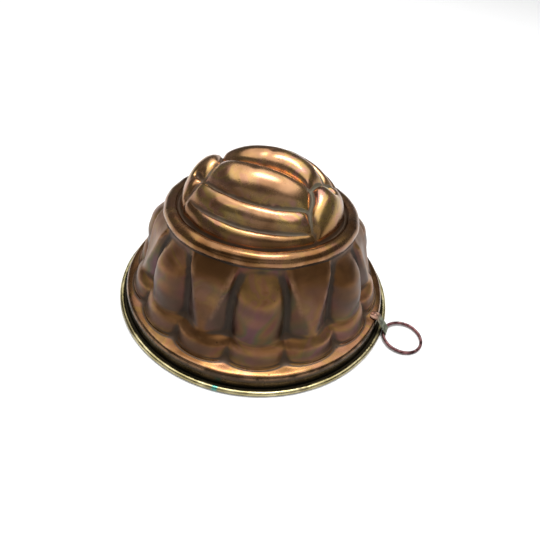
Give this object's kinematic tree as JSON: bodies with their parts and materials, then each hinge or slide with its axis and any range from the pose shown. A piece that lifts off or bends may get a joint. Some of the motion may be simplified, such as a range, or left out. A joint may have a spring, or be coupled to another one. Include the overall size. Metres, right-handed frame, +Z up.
{
  "type": "copper bundt mould",
  "caption": "Tall pressed-copper cake mould with a ribbed dome crown, fluted two-tier wall, wired brass rim and a loose hanging ring on a riveted strap.",
  "frame": {"origin": "middle of the bounding box in plan, on the plane the rim stands on; the mould's own axis stands 12.6 mm to the -X side of it because the hanging ring reaches out on +X", "axes": "+Z up along the mould's axis, mouth down; +X from the mould's axis through the strap and hanging ring; +Y completes the right-handed frame"},
  "size_m": [0.1952, 0.17, 0.0963],
  "materials": {
    "copper_sheet": "tarnished copper with iridescent bloom, worn bright on the crests",
    "brass_binding": "pale brass, scuffed, dark in the groove",
    "iron_wire": "dull iron, hidden inside the binding",
    "strap_copper": "copper strip with grey-green deposits",
    "rivet_copper": "pinkish copper, flattened heads",
    "ring_wire": "dark purple-brown oxidised copper wire"
  },
  "bodies": {
    "mould": {"mould_shell": "copper_sheet", "rim_binding": "brass_binding", "rim_wire": "iron_wire", "hanger_strap": "strap_copper", "hanger_rivet_upper": "rivet_copper", "hanger_rivet_lower": "rivet_copper"},
    "ring": {"hanging_ring": "ring_wire"}
  },
  "joints": [
    {"name": "ring_swing", "type": "hinge", "parent": "mould", "child": "ring", "pos_m": [0.07374, 0, 0.00188], "axis": [0, -1, 0], "range_deg": [-115, 125]}
  ]
}
